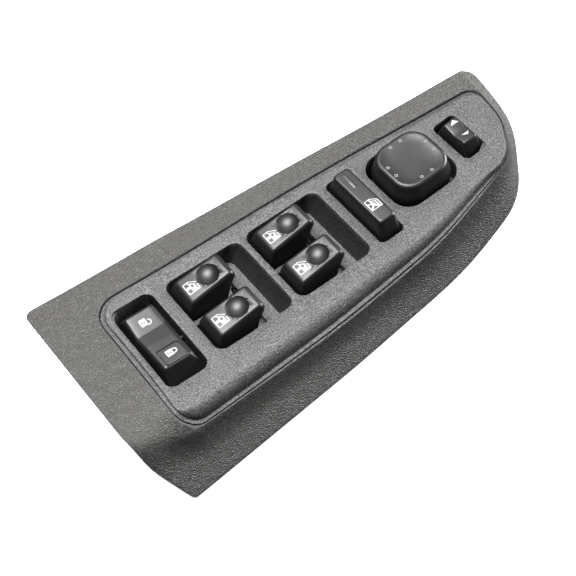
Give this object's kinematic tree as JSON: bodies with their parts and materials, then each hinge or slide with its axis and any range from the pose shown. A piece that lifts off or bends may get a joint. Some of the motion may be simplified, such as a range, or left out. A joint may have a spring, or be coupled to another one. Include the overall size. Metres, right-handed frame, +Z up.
{
  "type": "power window switch",
  "caption": "Black driver's door switch in a skirted trim bezel: lock rocker, window keys, lock-out button, mirror pad and selector",
  "frame": {"origin": "flat underside of the module housing, below the middle of the switch plate", "axes": "+X along the door towards the mirror pad, +Y towards the straight edge beside the glass, +Z up out of the plate"},
  "size_m": [0.2378, 0.1037, 0.0484],
  "materials": {
    "bezel_plastic": "grained black",
    "plate_plastic": "spark-eroded black",
    "key_plastic": "satin black",
    "case_plastic": "black",
    "gimbal_nylon": "natural white",
    "board_green": "solder mask green",
    "mat_silicone": "translucent grey",
    "screw_steel": "zinc plated",
    "clip_steel": "spring steel",
    "lens_clear": "clear",
    "header_plastic": "dark grey"
  },
  "bodies": {
    "module": {"trim_bezel": "bezel_plastic", "switch_plate": "plate_plastic", "lower_housing": "case_plastic", "circuit_board": "board_green", "dome_mat": "mat_silicone", "main_connector": "header_plastic", "mirror_connector": "header_plastic", "lockout_switch": "case_plastic", "indicator_led": "lens_clear", "gimbal_carrier": "case_plastic", "case_screw_1": "screw_steel", "case_screw_2": "screw_steel", "case_screw_3": "screw_steel", "case_screw_4": "screw_steel", "case_screw_5": "screw_steel", "case_screw_6": "screw_steel", "bezel_screw_1": "screw_steel", "bezel_screw_2": "screw_steel", "bezel_screw_3": "screw_steel", "carrier_screw_1": "screw_steel", "carrier_screw_2": "screw_steel", "trim_clip_1": "clip_steel", "trim_clip_2": "clip_steel", "trim_clip_3": "clip_steel", "trim_clip_4": "clip_steel"},
    "key_rear_inboard": {"window_key_rear_inboard": "key_plastic"},
    "key_rear_outboard": {"window_key_rear_outboard": "key_plastic"},
    "key_front_inboard": {"window_key_front_inboard": "key_plastic"},
    "key_front_outboard": {"window_key_front_outboard": "key_plastic"},
    "lock": {"lock_rocker": "key_plastic"},
    "lockout": {"lockout_button": "key_plastic", "lockout_light_pipe": "lens_clear", "lockout_plunger": "gimbal_nylon"},
    "gimbal": {"gimbal_ring": "gimbal_nylon"},
    "pad": {"mirror_pad": "key_plastic"},
    "selector": {"mirror_selector": "key_plastic"}
  },
  "joints": [
    {"name": "key_rear_inboard_press", "type": "hinge", "parent": "module", "child": "key_rear_inboard", "pos_m": [-0.049, -0.0091, 0.0303], "axis": [0, 1, 0], "range_deg": [-6, 6], "stiffness_Nm_per_rad": 0.35, "deforming": ["dome_mat"]},
    {"name": "key_rear_outboard_press", "type": "hinge", "parent": "module", "child": "key_rear_outboard", "pos_m": [-0.049, 0.0127, 0.0303], "axis": [0, 1, 0], "range_deg": [-6, 6], "stiffness_Nm_per_rad": 0.35, "deforming": ["dome_mat"]},
    {"name": "key_front_inboard_press", "type": "hinge", "parent": "module", "child": "key_front_inboard", "pos_m": [-0.0059, -0.0091, 0.02932], "axis": [0, 1, 0], "range_deg": [-6, 6], "stiffness_Nm_per_rad": 0.35, "deforming": ["dome_mat"]},
    {"name": "key_front_outboard_press", "type": "hinge", "parent": "module", "child": "key_front_outboard", "pos_m": [-0.0059, 0.0127, 0.02932], "axis": [0, 1, 0], "range_deg": [-6, 6], "stiffness_Nm_per_rad": 0.35, "deforming": ["dome_mat"]},
    {"name": "lock_rock", "type": "hinge", "parent": "module", "child": "lock", "pos_m": [-0.07635, 0.0014, 0.03174], "axis": [0.998, 0, -0.0637], "range_deg": [-5, 5], "stiffness_Nm_per_rad": 0.4, "deforming": ["dome_mat"]},
    {"name": "lockout_push", "type": "slide", "parent": "module", "child": "lockout", "axis": [0, 0, -1], "range_m": [0, 0.0025], "stiffness_N_per_m": 500, "springref_m": -0.002},
    {"name": "pad_roll", "type": "hinge", "parent": "module", "child": "gimbal", "pos_m": [0.0636, 0.003, 0.02869], "axis": [0.9986, 0, 0.0531], "range_deg": [-4, 4], "stiffness_Nm_per_rad": 0.3, "deforming": ["dome_mat"]},
    {"name": "pad_pitch", "type": "hinge", "parent": "gimbal", "child": "pad", "pos_m": [0.0636, 0.003, 0.02869], "axis": [0, 1, 0], "range_deg": [-4, 4], "stiffness_Nm_per_rad": 0.3, "deforming": ["dome_mat"]},
    {"name": "selector_rock", "type": "hinge", "parent": "module", "child": "selector", "pos_m": [0.0918, 0.0022, 0.03282], "axis": [0.9971, 0, 0.0765], "range_deg": [-7, 7], "deforming": ["dome_mat"]}
  ]
}
